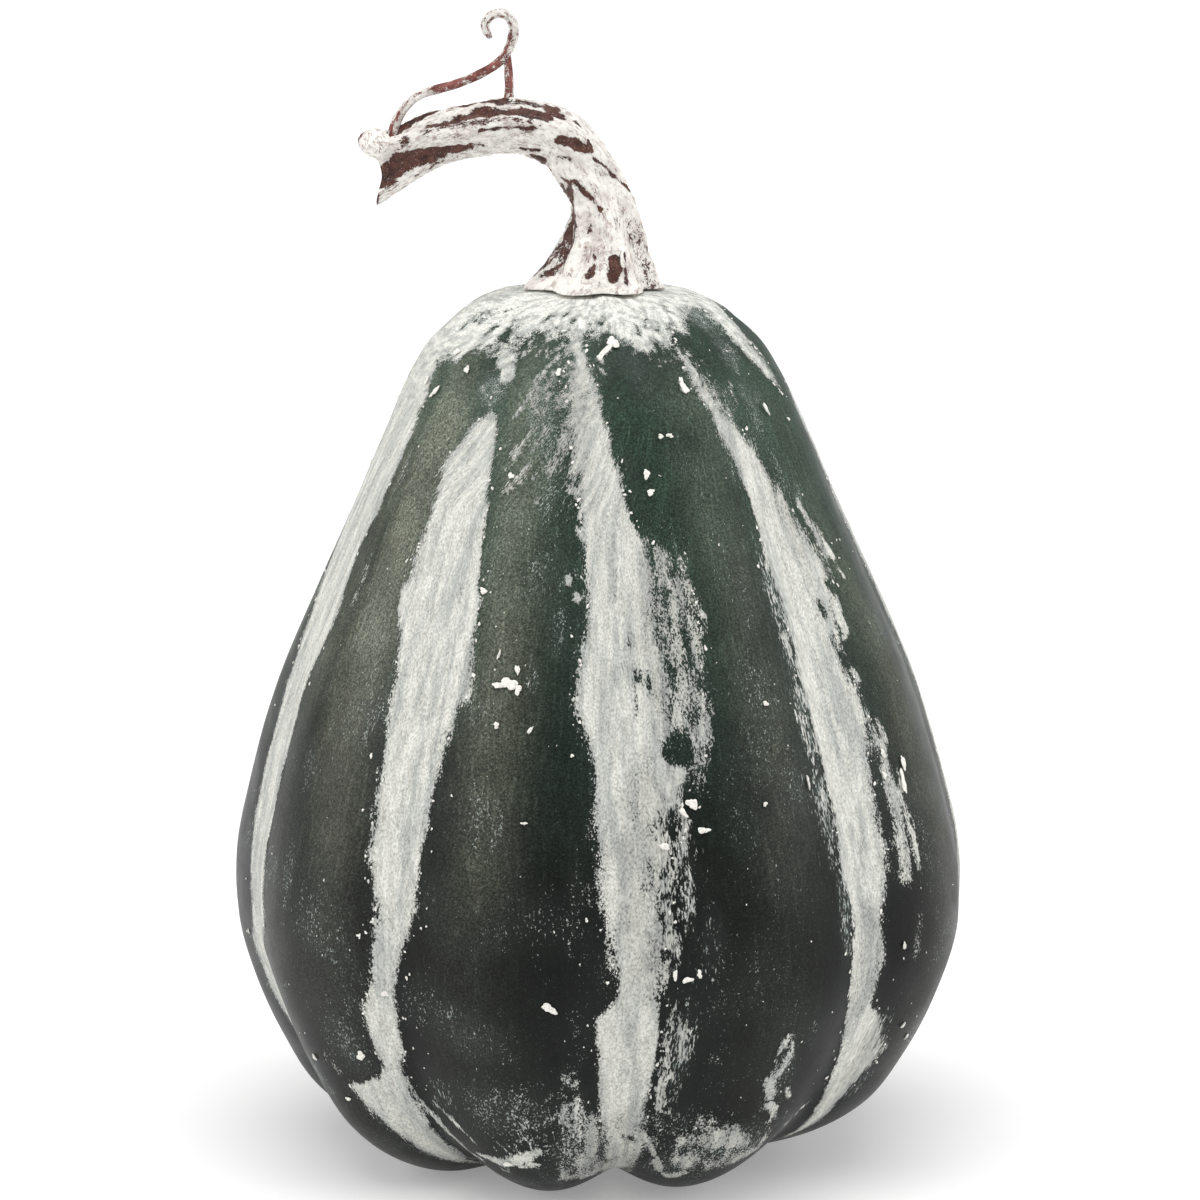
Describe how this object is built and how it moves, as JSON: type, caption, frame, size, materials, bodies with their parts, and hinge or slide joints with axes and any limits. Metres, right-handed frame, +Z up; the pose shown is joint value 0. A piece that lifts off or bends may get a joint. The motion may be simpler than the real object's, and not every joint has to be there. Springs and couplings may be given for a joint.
{
  "type": "decorative cushaw squash",
  "caption": "Ribbed, pear-shaped decorative squash with whitewashed green paint and a moulded, curved stem with a curling tendril.",
  "frame": {"origin": "middle of the overall box at the level of the surface that the squash stands on", "axes": "+Z up along the body's axis to the stem; -Y towards the front; the stem bends over towards -X"},
  "size_m": [0.2559, 0.2564, 0.3999],
  "materials": {
    "green_paint": "dark green satin paint with bronze overspray on the lobes and dry-brushed cream whitewash in the grooves",
    "whitewashed_resin": "matt reddish-brown resin under thick, broken cream whitewash"
  },
  "bodies": {
    "root": {"squash_body": "green_paint", "stem": "whitewashed_resin"}
  },
  "joints": []
}
